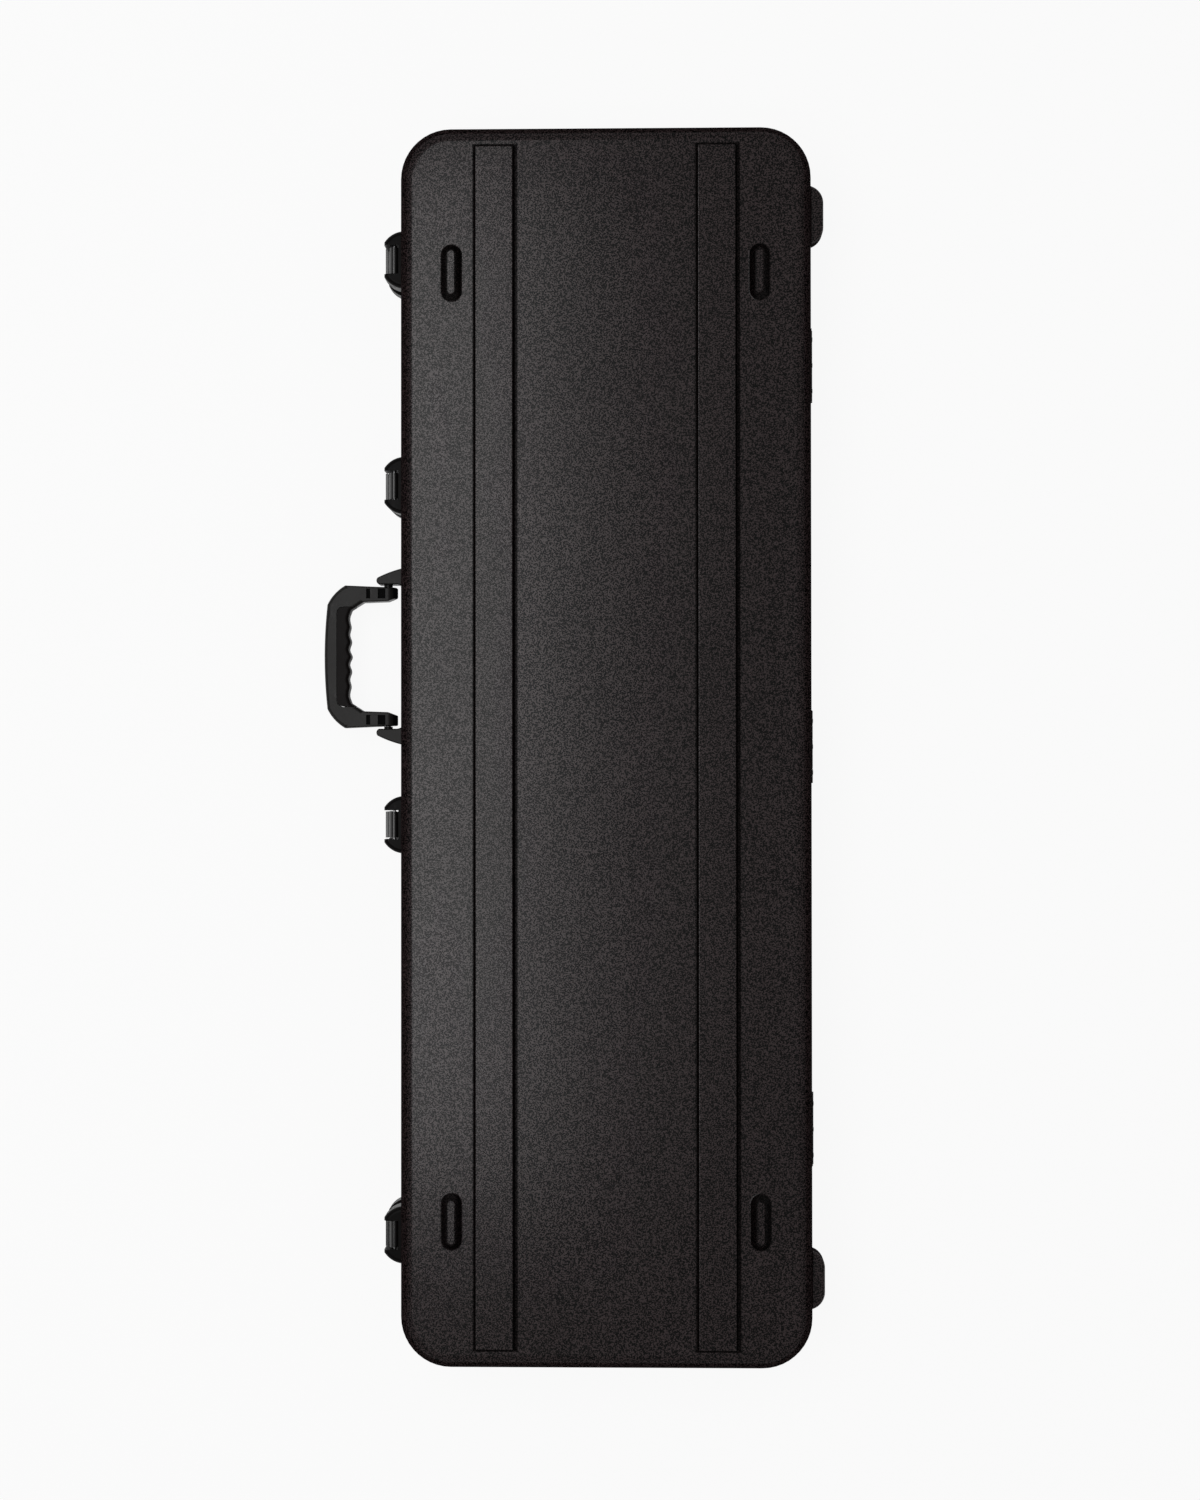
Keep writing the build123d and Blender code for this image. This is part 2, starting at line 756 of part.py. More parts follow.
def handle_solid():
    """Frame and grip in one, about the pivot's level, with the case's wall at X = 0 and +X outwards."""
    halves = handle_outline(1) + handle_outline(-1)
    back = ThreePointArc(corner_end, (bar_reach, 0), (corner_end[0], -corner_end[1]))
    count = round(8 * grip_end_half / finger_pitch)
    stations = [grip_end_half * (2 * i / count - 1) for i in range(count + 1)]
    grip = Spline(*[(finger_edge(w), w) for w in stations])
    plan = make_face(halves + [back, grip])
    slab = extrude(Plane.XY.offset(-handle_thick / 2) * plan, handle_thick)
    thick = arm_outer_half - arm_inner_half
    upright = slab.edges().filter_by(Axis.Z)
    slab = fillet(upright, min(handle_corner, handle_corner_share * thick))
    rims = [e for e in slab.edges() if e.bounding_box().size.Z < tiny]
    most = (thick - arm_flat) / 2
    bar = fillet(rims, min(bar_edge, most)) & bar_zone()
    arms = fillet(rims, min(arm_edge, most)) - bar_zone()
    wide = 2 * shoulder[1]
    nose = rod(handle_thick / 2, handle_axis_reach, 0, (-wide / 2, wide / 2))
    past_axis = box_between(
        (handle_axis_reach, 2 * bar_reach), (-wide, wide), (-handle_thick, handle_thick)
    )
    return bar + (arms & (nose + past_axis))


def insert_room(grow):
    """The space of the soft insert in the bar."""
    width = insert_reach - finger_edge(0) + insert_past
    plan = Rectangle(width + grow, 2 * (insert_half + grow))
    plan = fillet(plan.vertices().group_by(Axis.X)[-1], insert_corner)
    plan = Pos(insert_reach + grow - (width + grow) / 2, 0) * plan
    return extrude(Plane.XY.offset(-handle_thick) * plan, 2 * handle_thick)


def window_cut(side_sign, face_sign):
    """The shallow window in one face of an arm, with its raised block left standing."""
    x = (window_start, window_start + window_length)
    y = (side_sign * window_half_low, side_sign * (window_half_low + window_width))
    face = handle_thick / 2 * face_sign
    cut = box_between(x, y, (face - window_depth * face_sign, face + face_sign))
    block = box_between(
        (x[0] + window_block_start, x[0] + window_block_start + window_block_length),
        y,
        (face - window_depth * face_sign, face - (window_depth - window_block_height) * face_sign),
    )
    return cut - block


def place_handle(shape):
    return Pos(-side, handle_y, handle_z) * Rot(0, 0, 180) * shape


def handle_frame():
    frame = handle_solid() - insert_room(insert_crease)
    for side_sign in (-1, 1):
        for face_sign in (-1, 1):
            frame -= window_cut(side_sign, face_sign)
        frame -= pin_hole(side_sign, handle_pin_radius + pin_run)
    return place_handle(frame)


def handle_grip():
    inner = handle_solid() & insert_room(0)
    key = box_between(
        (insert_reach - insert_corner, insert_reach + insert_crease),
        (-insert_key_half, insert_key_half),
        (-insert_key_thick / 2, insert_key_thick / 2),
    )
    return place_handle(inner + key)


def pin_hole(side_sign, radius):
    inner = side_sign * (arm_inner_half + handle_pin_inset)
    outer = side_sign * (bracket_inner_half + handle_pin_hold)
    return rod(radius, handle_axis_reach, 0, (inner, outer))


def bracket(side_sign):
    """A wing-shaped bracket with the boss that carries the handle's pin."""
    tip = (bracket_tip[0] - bracket_tip_lean, bracket_inner_half)
    nose = (bracket_tip[0] + bracket_nose, (bracket_tip[1] + bracket_inner_half) / 2)
    curve = ThreePointArc((0, bracket_root_half), bracket_shoulder, bracket_tip)
    round_end = ThreePointArc(bracket_tip, nose, tip)
    inner = Line(tip, (bracket_flare, bracket_inner_half))
    flare_start = (bracket_flare, bracket_inner_half)
    flare = ThreePointArc(flare_start, bracket_flare_mid, (0, bracket_foot_half))
    root = Line((0, bracket_foot_half), (0, bracket_root_half))
    plan = make_face([curve, round_end, inner, flare, root])
    body = extrude(Plane.XY.offset(-bracket_half_height) * plan, 2 * bracket_half_height)
    rims = [e for e in body.edges() if e.bounding_box().size.Z < tiny and e.center().X > tiny]
    body = fillet(rims, bracket_edge)
    boss_face = arm_outer_at(handle_axis_reach + boss_radius) + boss_gap
    body += rod(boss_radius, handle_axis_reach, 0, (boss_face, bracket_inner_half + over))
    for step in (-bracket_rivet_pitch / 2, bracket_rivet_pitch / 2):
        body -= bore_out(
            rivet_head_radius + rivet_head_room,
            bracket_rivet_half,
            step,
            (bracket_rivet_seat, bracket_tip[0]),
        )
        body -= bore_out(rivet_radius + rivet_play, bracket_rivet_half, step, (0, bracket_tip[0]))
    body -= pin_hole(1, handle_pin_radius + pin_fit)
    if side_sign > 0:
        body = mirror(body, about=Plane.XZ)
    return place_handle(body)


def handle_pins():
    pins = [pin_hole(sign, handle_pin_radius) for sign in (-1, 1)]
    return Compound([place_handle(p) for p in pins])


# Lining

floor_top = inside_floor + soft_gap + floor_pad_thick
surround_low = floor_top + soft_gap
surround_high = parting - surround_top
lining_inset = -(wall + flange + rivet_tail_height + soft_gap)
lining_x = side + lining_inset
neck_gap = soft_gap / 2


def floor_pad():
    low = inside_floor + soft_gap
    pad = case_block(lining_inset, low, floor_top)
    return fillet(pad.faces().sort_by(Axis.Z)[0].edges(), crown_radius - wall)


def lid_pad():
    low = 2 * parting - inside_floor - soft_gap - lid_pad_thick
    pad = case_block(lining_inset, low, low + lid_pad_thick)
    pad = fillet(pad.faces().sort_by(Axis.Z)[-1].edges(), crown_radius - wall)
    return fillet(pad.faces().sort_by(Axis.Z)[0].edges(), lid_pad_round)


# Half width of the body pocket and the gap from the body end of the case, from the neck to the end
body_widths = (
    (neck_half, neck_body_gap),
    (96.0, 457.0),
    (140.0, 425.0),
    (157.0, 371.0),
    (147.0, 316.0),
    (134.0, 259.0),
    (150.0, 201.0),
    (171.0, 141.0),
    (158.0, 79.0),
    (100.0, 37.0),
    (0.0, 28.0),
)
body_shape = [(half, half_length - gap) for half, gap in body_widths]
shoulder_lean = (1, 0.15)  # direction of the outline where it leaves the neck


def pocket():
    """The instrument's space: body, neck channel and head pocket in one outline."""
    depth = surround_high - surround_low
    curve = Spline(*body_shape, tangents=[shoulder_lean, (-1, 0)])
    edge = Polyline(
        (neck_half, neck_start),
        (neck_half, neck_end),
        (head_half, neck_end - head_neck),
        (head_half, head_end),
        (0, head_end),
    )
    middle = Line(body_shape[-1], (0, head_end))
    half = extrude(Plane.XY.offset(surround_low) * make_face([curve, middle] + edge.edges()), depth)
    corner = half.edges().filter_by(Axis.Z).sort_by(Axis.Y)[:2].sort_by(Axis.X)[-1]
    half = fillet(corner, head_corner)
    return half + mirror(half, about=Plane.YZ)


def lining_blocks():
    """The foam round the instrument, cut into its separate blocks."""
    whole = case_block(lining_inset, surround_low, surround_high) - pocket()
    far = case_length
    z = (surround_low, surround_high)
    body_low = neck_start + neck_gap
    zones = {
        "body_surround_left": ((-far, 0), (body_low, far)),
        "body_surround_right": ((0, far), (body_low, far)),
        "neck_side_block": ((0, far), (neck_end + neck_gap, neck_start - neck_gap)),
        "accessory_box": ((-far, 0), (neck_end + neck_gap, neck_start - neck_gap)),
        "head_surround": ((-far, far), (-far, neck_end - neck_gap)),
    }
    blocks = {name: whole & box_between(x, y, z) for name, (x, y) in zones.items()}
    split = box_between((-neck_gap, neck_gap), (0, far), z)
    for name in ("body_surround_left", "body_surround_right"):
        blocks[name] = blocks[name] - split
    blocks["accessory_box"] = blocks["accessory_box"] - box_hollow() - flap_rebate()
    return blocks


box_x = (-lining_x + box_wall, -neck_half - box_wall)
box_y = (neck_end + box_far_gap, neck_start - box_end_gap)


def box_hollow():
    return box_between(box_x, box_y, (surround_low + box_floor, surround_high))


def flap_rebate():
    grow = flap_rest
    return box_between(
        (box_x[0] - grow, box_x[1] + grow),
        (box_y[0] - grow, box_y[1] + grow),
        (surround_high - flap_thick - flap_gap, surround_high),
    )


def accessory_flap():
    grow = flap_rest - flap_gap
    high = surround_high - flap_gap / 2
    plate = box_between(
        (box_x[0] - grow, box_x[1] + grow),
        (box_y[0] - grow, box_y[1] + grow),
        (high - flap_thick, high),
    )
    upright = plate.edges().filter_by(Axis.Z)
    return fillet(upright, flap_rest / 2)


def flap_tab():
    """The ribbon pull, lying on the flap near its free edge."""
    x = box_x[0] + tab_overlap
    middle = sum(box_y) / 2
    high = surround_high - flap_gap / 2
    y = (middle - tab_width / 2, middle + tab_width / 2)
    return box_between((x, x + tab_length), y, (high, high + tab_thick))


def neck_cradle():
    reach = neck_half - soft_gap
    y = (cradle_place - cradle_length / 2, cradle_place + cradle_length / 2)
    top = surround_low + cradle_height
    block = box_between((-reach, reach), y, (surround_low, top))
    groove = rod(cradle_groove_radius, 0, top + cradle_groove_radius - cradle_groove_depth, y)
    return block - groove


# Build


def build():
    tray = plain_tray()
    room = hinge_room()
    base_latch_rivets = latch_rivet_places(base_block_rivet_z)
    lid_latch_rivets = latch_rivet_places(lid_block_rivet_z)
    base_holes = rivet_holes(base_latch_rivets + bracket_rivet_places(), False)
    base_hinge_holes = rivet_holes(hinge_rivet_places(-1), True)
    lid_holes = rivet_holes(lid_latch_rivets, False)
    lid_hinge_holes = rivet_holes(hinge_rivet_places(1), True)

    base_tray = tray + side_feet(base_foot_trim)
    lid_tray = turned_over(tray + side_feet(0))
    save("base_shell", base_tray - room - base_holes - base_hinge_holes)
    save("lid_shell", lid_tray - room - lid_holes - lid_hinge_holes)
    save("base_valance", valance() - room - base_hinge_holes)
    save("lid_valance", lid_valance() - room - lid_hinge_holes)

    for number, y in enumerate(hinge_places, start=1):
        at = Pos(hinge_x, y, parting)
        save(f"hinge_base_leaf_{number}", at * hinge_leaf(0, -1))
        save(f"hinge_lid_leaf_{number}", at * hinge_leaf(1, 1))
    save("hinge_pins", Compound([Pos(hinge_x, y, parting) * hinge_pin() for y in hinge_places]))
    save("hinge_base_rivets", hinge_rivets(-1))
    save("hinge_lid_rivets", hinge_rivets(1))
    save("latch_base_rivets", wall_rivets(base_latch_rivets, block_rivet_seat))
    save("latch_lid_rivets", wall_rivets(lid_latch_rivets, block_rivet_seat))
    save("bracket_rivets", wall_rivets(bracket_rivet_places(), bracket_rivet_seat))

    latch_pieces = {
        "latch_block": lid_latch_block(),
        "catch_block": base_latch_block(),
        "hasp": hasp(),
        "hasp_pin": hasp_pin(),
        "trigger": trigger(),
        "trigger_pin": trigger_pin(),
        "trigger_spring": trigger_spring(),
    }
    for number, y in enumerate(latch_places, start=1):
        for name, shape in latch_pieces.items():
            save(f"{name}_{number}", Pos(0, y, 0) * shape)

    save("handle_frame", handle_frame())
    save("handle_grip", handle_grip())
    save("handle_bracket_top", bracket(1))
    save("handle_bracket_bottom", bracket(-1))
    save("handle_pins", handle_pins())

    save("floor_pad", floor_pad())
    save("lid_pad", lid_pad())
    for name, shape in lining_blocks().items():
        save(name, shape)
    save("accessory_flap", accessory_flap())
    save("flap_tab", flap_tab())
    save("neck_cradle", neck_cradle())


build()
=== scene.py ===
import json
import math

import bmesh
import bpy
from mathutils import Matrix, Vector


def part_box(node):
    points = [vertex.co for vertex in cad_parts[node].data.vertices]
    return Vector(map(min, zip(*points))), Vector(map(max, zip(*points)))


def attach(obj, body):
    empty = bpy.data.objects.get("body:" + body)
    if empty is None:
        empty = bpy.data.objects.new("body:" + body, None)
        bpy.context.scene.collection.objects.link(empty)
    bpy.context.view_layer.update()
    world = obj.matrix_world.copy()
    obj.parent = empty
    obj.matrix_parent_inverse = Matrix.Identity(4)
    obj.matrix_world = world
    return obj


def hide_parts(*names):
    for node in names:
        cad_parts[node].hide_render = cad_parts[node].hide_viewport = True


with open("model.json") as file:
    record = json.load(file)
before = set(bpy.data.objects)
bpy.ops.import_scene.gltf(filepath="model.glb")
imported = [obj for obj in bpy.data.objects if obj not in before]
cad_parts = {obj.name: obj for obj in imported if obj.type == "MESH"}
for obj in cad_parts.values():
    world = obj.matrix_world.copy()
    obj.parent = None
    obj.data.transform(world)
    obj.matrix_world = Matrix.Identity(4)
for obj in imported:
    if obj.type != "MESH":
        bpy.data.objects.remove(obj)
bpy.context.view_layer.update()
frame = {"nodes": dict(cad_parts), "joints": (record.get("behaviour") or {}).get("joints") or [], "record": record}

print("frame loaded:", len(frame["nodes"]), "nodes")

nodes = frame["nodes"]
joints = {joint["name"]: joint for joint in frame["joints"]}
slotOf = {part["node"]: part["material_slot"] for part in frame["record"]["subparts"]}
bodyOf = {name: body for body, names in frame["record"]["behaviour"]["bodies"].items() for name in names}
valanceLow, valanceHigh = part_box("base_valance")
caseMiddle = (valanceLow.x + valanceHigh.x) / 2        # X of the case's middle, handle left out
partingZ = joints["lid_hinge"]["pos_m"][2]             # the level where lid and base meet
handleAxis = joints["handle_pivot"]["pos_m"]


class Wire:
    # a socket that can stand in a sum
    def __init__(self, sheet, socket):
        self.sheet = sheet
        self.socket = socket

    def sum(self, operation, *values):
        return self.sheet.add("ShaderNodeMath", {"operation": operation}, *values)

    def __add__(self, other):
        return self.sum("ADD", self, other)

    __radd__ = __add__

    def __sub__(self, other):
        return self.sum("SUBTRACT", self, other)

    def __rsub__(self, other):
        return self.sum("SUBTRACT", other, self)

    def __mul__(self, other):
        return self.sum("MULTIPLY", self, other)

    __rmul__ = __mul__

    def __pow__(self, other):
        return self.sum("POWER", self, other)

    def __gt__(self, other):
        return self.sum("GREATER_THAN", self, other)

    def __abs__(self):
        return self.sum("ABSOLUTE", self)

    def atLeast(self, other):
        return self.sum("MAXIMUM", self, other)

    def sign(self):
        return self.sum("SIGN", self)

    def out(self, name):
        return Wire(self.sheet, self.socket.node.outputs[name])


class Finish:
    # one material and its nodes
    def __init__(self, name):
        self.material = bpy.data.materials.new(name)
        self.material.use_nodes = True
        self.tree = self.material.node_tree
        self.tree.nodes.clear()
        self.skin = self.tree.nodes.new("ShaderNodeBsdfPrincipled")
        self.ending = self.tree.nodes.new("ShaderNodeOutputMaterial")
        self.tree.links.new(self.skin.outputs[0], self.ending.inputs["Surface"])
        self.place = self.add("ShaderNodeTexCoord", {}).out("Object")

    def add(self, kind, settings, *values, **named):
        node = self.tree.nodes.new(kind)
        for key, value in settings.items():
            setattr(node, key, value)
        for socket, value in zip([s for s in node.inputs if s.enabled], values):
            self.feed(socket, value)
        for key, value in named.items():
            self.feed(node.inputs[key.replace("_", " ")], value)
        return Wire(self, [s for s in node.outputs if s.enabled][0])

    def feed(self, socket, value):
        if isinstance(value, Wire):
            self.tree.links.new(value.socket, socket)
        elif value is not None:
            socket.default_value = value

    def mapped(self, scale):
        return self.add("ShaderNodeMapping", {}, Vector=self.place, Scale=scale)

    def noise(self, scale, detail=2.0, rough=0.5, place=None, warp=0.0):
        return self.add(
            "ShaderNodeTexNoise", {}, Vector=place or self.place, Scale=scale, Detail=detail,
            Roughness=rough, Distortion=warp,
        )

    def cells(self, scale):
        return self.add("ShaderNodeTexVoronoi", {}, Vector=self.place, Scale=scale).out("Distance")

    def waves(self, direction, scale):
        settings = {"wave_type": "BANDS", "bands_direction": direction}
        return self.add("ShaderNodeTexWave", settings, Vector=self.place, Scale=scale).out("Fac")

    def span(self, value, low, high):
        # 0 below low, 1 above high
        return self.add("ShaderNodeMapRange", {"interpolation_type": "SMOOTHSTEP"}, value, low, high)

    def blend(self, factor, first, second):
        node = self.tree.nodes.new("ShaderNodeMix")
        node.data_type = "RGBA"
        for socket, value in ((node.inputs[0], factor), (node.inputs[6], first), (node.inputs[7], second)):
            self.feed(socket, (*value, 1) if isinstance(value, tuple) else value)
        return Wire(self, node.outputs[2])

    def axes(self):
        split = self.add("ShaderNodeSeparateXYZ", {}, self.place)
        return split.out("X"), split.out("Y"), split.out("Z")

    def bump(self, height, strength, distance, under=None):
        return self.add(
            "ShaderNodeBump", {}, Strength=strength, Distance=distance, Height=height, Normal=under
        )

    def finish(self, colour, rough, normal, **fixed):
        self.feed(self.skin.inputs["Base Color"], colour)
        self.feed(self.skin.inputs["Roughness"], rough)
        self.feed(self.skin.inputs["Normal"], normal)
        for key, value in fixed.items():
            self.skin.inputs[key.replace("_", " ")].default_value = value
        return self.material


# Moulded shells: grain, raised bands and oval feet, with painted shade on the slopes of bands and ovals and on the
# crown and walls. Lengths in metres, levels from the parting plane
shellLook = {
    "dark": (0.0004, 0.0003, 0.0003),
    "light": (0.040, 0.0270, 0.0278),
    "grain": 760.0,               # pebbles a metre
    "crackle": 684.0,             # cells a metre between them
    "crackleEdge": (0.0, 0.7),
    "crackleShare": 0.4,          # of the relief
    "grainDepth": 0.0002,
    "grainBump": 0.6,
    "speck": (0.6, 0.76),         # pebble heights between which the tone turns light
    "speckCracks": 0.3,           # share of the cells in those heights
    "patch": {"scale": 7.0, "share": 0.36},
    "rough": 0.3,
    "speckRough": 0.16,           # how much smoother the pebbles' tops are
    "sideRough": 0.3,             # added on the crown and the walls
    "gloss": 0.288,               # of the coat between pebbles, twice as much on their tops
    "sideGloss": 0.02,            # share of it left on the crown and the walls
    "sideShade": 0.85,             # painted shade: share of the colour left on the crown and the walls
    "coat": {"Coat_Roughness": 0.22, "Coat_IOR": 1.6},
    "crown": (0.0572, 0.0599),    # levels between which the large face is reached
    "sideFoot": {"x": 0.2135, "top": (0.039, 0.0415)},
    "slopeShade": 0.8,                # painted shade: how much darker the slopes of bands and ovals are
    "band": {"x": 0.1147, "topHalf": 0.0193, "footHalf": 0.0211, "halfLength": 0.6207, "lean": 0.0016},
    "bandSoft": {"foot": (0.0006, 0.0022), "footEnd": (0.0006, 0.002), "top": (-0.0008, 0.0),
                 "topEnd": (-0.0026, -0.0018)},
    "oval": {"x": 0.159, "y": 0.4885, "halfStraight": 0.01875, "topRadius": 0.0037, "footRadius": 0.0098},
    "ovalSoft": {"top": (-0.0012, 0.0004), "foot": (0.0002, 0.002)},
    "scuff": (0.16, 0.15, 0.15),
    "scuffLevel": (0.0665, 0.0672),
    "scuffShare": 0.4,
    "scuffSmooth": 0.05,          # how much smoother a scuff is
    "scratch": {"scale": 160.0, "stretch": (1.0, 0.22, 1.0), "edge": (0.6, 0.72)},
}


def softEdge(f, value, place, soft):
    return f.span(value, place + soft[0], place + soft[1])


def bandSlopes(f, x, y, band, soft):
    across = x - x.sign() * band["x"]
    lean = (across > 0) * band["lean"]                 # the flank towards the hinges shows wider
    across = abs(across)
    inside = (1 - softEdge(f, across - lean, band["footHalf"], soft["foot"])) * (
        1 - softEdge(f, y, band["halfLength"], soft["footEnd"])
    )
    onTop = (1 - softEdge(f, across, band["topHalf"], soft["top"])) * (
        1 - softEdge(f, y, band["halfLength"], soft["topEnd"])
    )
    return inside * (1 - onTop)


def ovalSlopes(f, x, y, oval, soft):
    along = (abs(y - oval["y"]) - oval["halfStraight"]).atLeast(0.0)
    beside = abs(abs(x) - oval["x"])
    reach = (along * along + beside * beside) ** 0.5
    return softEdge(f, reach, oval["topRadius"], soft["top"]) * (
        1 - softEdge(f, reach, oval["footRadius"], soft["foot"])
    )


def shellFinish(look=shellLook):
    f = Finish("shellGrain")
    pebbles = f.noise(look["grain"], detail=1.0, warp=0.2)
    cracks = f.cells(look["crackle"])
    height = pebbles * (1 - look["crackleShare"]) + f.span(cracks, *look["crackleEdge"]) * look["crackleShare"]
    speck = f.span(pebbles + cracks * look["speckCracks"], *look["speck"])
    patch = f.noise(look["patch"]["scale"], detail=3.0, rough=0.55) - 0.5
    tone = speck * (1 + patch * look["patch"]["share"])

    x, y, z = f.axes()
    x = x - caseMiddle
    y = abs(y)
    rise = abs(z - partingZ)
    face = f.span(rise, *look["crown"])
    footTop = (x > look["sideFoot"]["x"]) * f.span(rise, *look["sideFoot"]["top"])
    flat = face.atLeast(footTop)
    slopes = bandSlopes(f, x, y, look["band"], look["bandSoft"]).atLeast(
        ovalSlopes(f, x, y, look["oval"], look["ovalSoft"])
    )
    # painted shade on the slopes of bands and ovals, in the colour and the coat
    paintedSlopeShade = 1 - slopes * face * look["slopeShade"]
    # painted shade: the crown and the walls darker than the large face and the side feet's tops
    paintedSideShade = look["sideShade"] + flat * (1 - look["sideShade"])
    colour = f.blend(tone * paintedSlopeShade * paintedSideShade, look["dark"], look["light"])

    scratch = look["scratch"]
    rubbed = f.noise(scratch["scale"], detail=4.0, rough=0.7, place=f.mapped(scratch["stretch"]))
    worn = f.span(rise, *look["scuffLevel"]) * f.span(rubbed, *scratch["edge"]) * look["scuffShare"]
    colour = f.blend(worn, colour, look["scuff"])

    rough = look["rough"] + (0.5 - speck) * look["speckRough"] + (1 - flat) * look["sideRough"]
    rough = rough - worn * look["scuffSmooth"]
    coat = (tone + 1) * look["gloss"] * (look["sideGloss"] + flat * (1 - look["sideGloss"]))
    f.feed(f.skin.inputs["Coat Weight"], coat * paintedSlopeShade)
    normal = f.bump(height, look["grainBump"], look["grainDepth"])
    return f.finish(colour, rough, normal, Specular_IOR_Level=0.0, **look["coat"])


# Metal rims, drawn along the case's edge
valanceLook = {
    "dark": (0.0040, 0.0039, 0.0042),
    "light": (0.015, 0.0148, 0.0155),
    "nick": (0.14, 0.14, 0.145),
    "nicks": {"scale": 240.0, "edge": (0.68, 0.74), "share": 0.4},
    "lines": {"scale": 1400.0, "stretch": (0.03, 0.03, 1.0), "share": 0.6, "bump": 0.2, "depth": 0.00006},
    "patch": 22.0,
    "rough": 0.4,
    "roughSwing": (0.2, 0.1),     # by the lines and by the patches
    "fixed": {"Metallic": 0.35, "Specular_IOR_Level": 0.2},
}


def valanceFinish(look=valanceLook):
    f = Finish("anodisedExtrusion")
    drawn = look["lines"]
    lines = f.noise(drawn["scale"], rough=0.6, place=f.mapped(drawn["stretch"]))
    patch = f.noise(look["patch"], detail=3.0)
    nicks = f.span(f.noise(look["nicks"]["scale"], detail=3.0, rough=0.7), *look["nicks"]["edge"])
    colour = f.blend(lines * drawn["share"] + patch * (1 - drawn["share"]), look["dark"], look["light"])
    colour = f.blend(nicks * look["nicks"]["share"], colour, look["nick"])
    byLines, byPatch = look["roughSwing"]
    rough = look["rough"] + (lines - 0.5) * byLines + (patch - 0.5) * byPatch
    return f.finish(colour, rough, f.bump(lines, drawn["bump"], drawn["depth"]), **look["fixed"])


# Plain mouldings, painted steel and rubber, which differ in their numbers
mouldedLook = {
    "grain": 900.0,
    "bump": 0.3,
    "depth": 0.00008,
    "cloud": 38.0,
    "rub": {"scale": 120.0, "stretch": (1.0, 0.35, 1.0), "edge": (0.58, 0.72), "share": 0.14, "paler": 2.6},
    "roughSwing": (0.18, 0.12, 0.08),                  # by the grain, the clouds and the rubbed places
    "gloss": 0.25,
}
latchLook = {
    **mouldedLook, "dark": (0.0012, 0.0010, 0.0010), "light": (0.0055, 0.0048, 0.0048), "rough": 0.34,
    "gloss": 0.05,
}
haspLook = {
    **mouldedLook, "dark": (0.002, 0.0018, 0.0018), "light": (0.010, 0.0094, 0.0094), "rough": 0.2,
    "gloss": 0.5,
}
rivetLook = {
    **mouldedLook, "dark": (0.012, 0.012, 0.012), "light": (0.05, 0.05, 0.05), "rough": 0.38,
    "grain": 600.0,
}
hingeLook = {
    **mouldedLook, "dark": (0.0035, 0.0034, 0.0036), "light": (0.012, 0.0118, 0.0122), "rough": 0.42,
    "grain": 500.0, "gloss": 0.1,
}
handleLook = {
    **mouldedLook, "dark": (0.0045, 0.0041, 0.0038), "light": (0.018, 0.0165, 0.0155), "rough": 0.36,
    "gloss": 0.16,
    # the windows in the arms, by reach, half width and level from the handle's axis
    "sunk": {"reach": (0.0022, 0.0227), "halves": (0.062, 0.0725), "levels": (0.0082, 0.0088), "soft": 0.0003},
    # painted shade in the windows: their colour darkened and their roughness raised
    "sunkShade": {"colour": 0.08, "rough": 0.5},
}
gripLook = {
    **mouldedLook, "dark": (0.0025, 0.0018, 0.0018), "light": (0.0095, 0.0072, 0.0072), "rough": 0.5,
    "grain": 1500.0, "gloss": 0.1,
}


def sunkMask(f, reach, halves, levels, soft):
    out, beside, down = [abs(axis - middle) for axis, middle in zip(f.axes(), handleAxis)]
    inReach = f.span(out, reach[0] - soft, reach[0]) * (1 - f.span(out, reach[1], reach[1] + soft))
    inWidth = f.span(beside, halves[0] - soft, halves[0]) * (1 - f.span(beside, halves[1], halves[1] + soft))
    return inReach * inWidth * (1 - f.span(down, *levels))


def mouldedFinish(name, look):
    f = Finish(name)
    spark = f.noise(look["grain"], detail=3.0, rough=0.65)
    cloud = f.noise(look["cloud"])
    wear = look["rub"]
    rub = f.noise(wear["scale"], detail=4.0, rough=0.7, place=f.mapped(wear["stretch"]))
    rub = f.span(rub, *wear["edge"])
    colour = f.blend(spark * 0.5 + cloud * 0.5, look["dark"], look["light"])
    colour = f.blend(rub * wear["share"], colour, tuple(c * wear["paler"] for c in look["light"]))
    bySpark, byCloud, byRub = look["roughSwing"]
    rough = look["rough"] + (spark - 0.5) * bySpark + (cloud - 0.5) * byCloud - rub * byRub
    if "sunk" in look:
        # painted shade: the windows in the arms darkened
        sunkShadeMask = sunkMask(f, **look["sunk"])
        colour = f.blend(sunkShadeMask, colour, tuple(c * look["sunkShade"]["colour"] for c in look["dark"]))
        rough = rough + sunkShadeMask * look["sunkShade"]["rough"]
    normal = f.bump(spark, look["bump"], look["depth"])
    return f.finish(colour, rough, normal, Specular_IOR_Level=look["gloss"])


steelLook = {
    "dark": (0.27, 0.27, 0.275),
    "light": (0.55, 0.55, 0.56),
    "rough": 0.34,
    "grain": {"scale": 1800.0, "stretch": (1.0, 0.08, 1.0), "bump": 0.15, "depth": 0.00004},
    "stain": {"scale": 60.0, "rough": 0.25},
}


def steelFinish(look=steelLook):
    f = Finish("platedSteel")
    drawn = look["grain"]
    grain = f.noise(drawn["scale"], rough=0.6, place=f.mapped(drawn["stretch"]))
    stain = f.noise(look["stain"]["scale"], detail=3.0)
    colour = f.blend(grain * 0.5 + stain * 0.5, look["dark"], look["light"])
    rough = look["rough"] + (stain - 0.5) * look["stain"]["rough"]
    return f.finish(colour, rough, f.bump(grain, drawn["bump"], drawn["depth"]), Metallic=1.0)


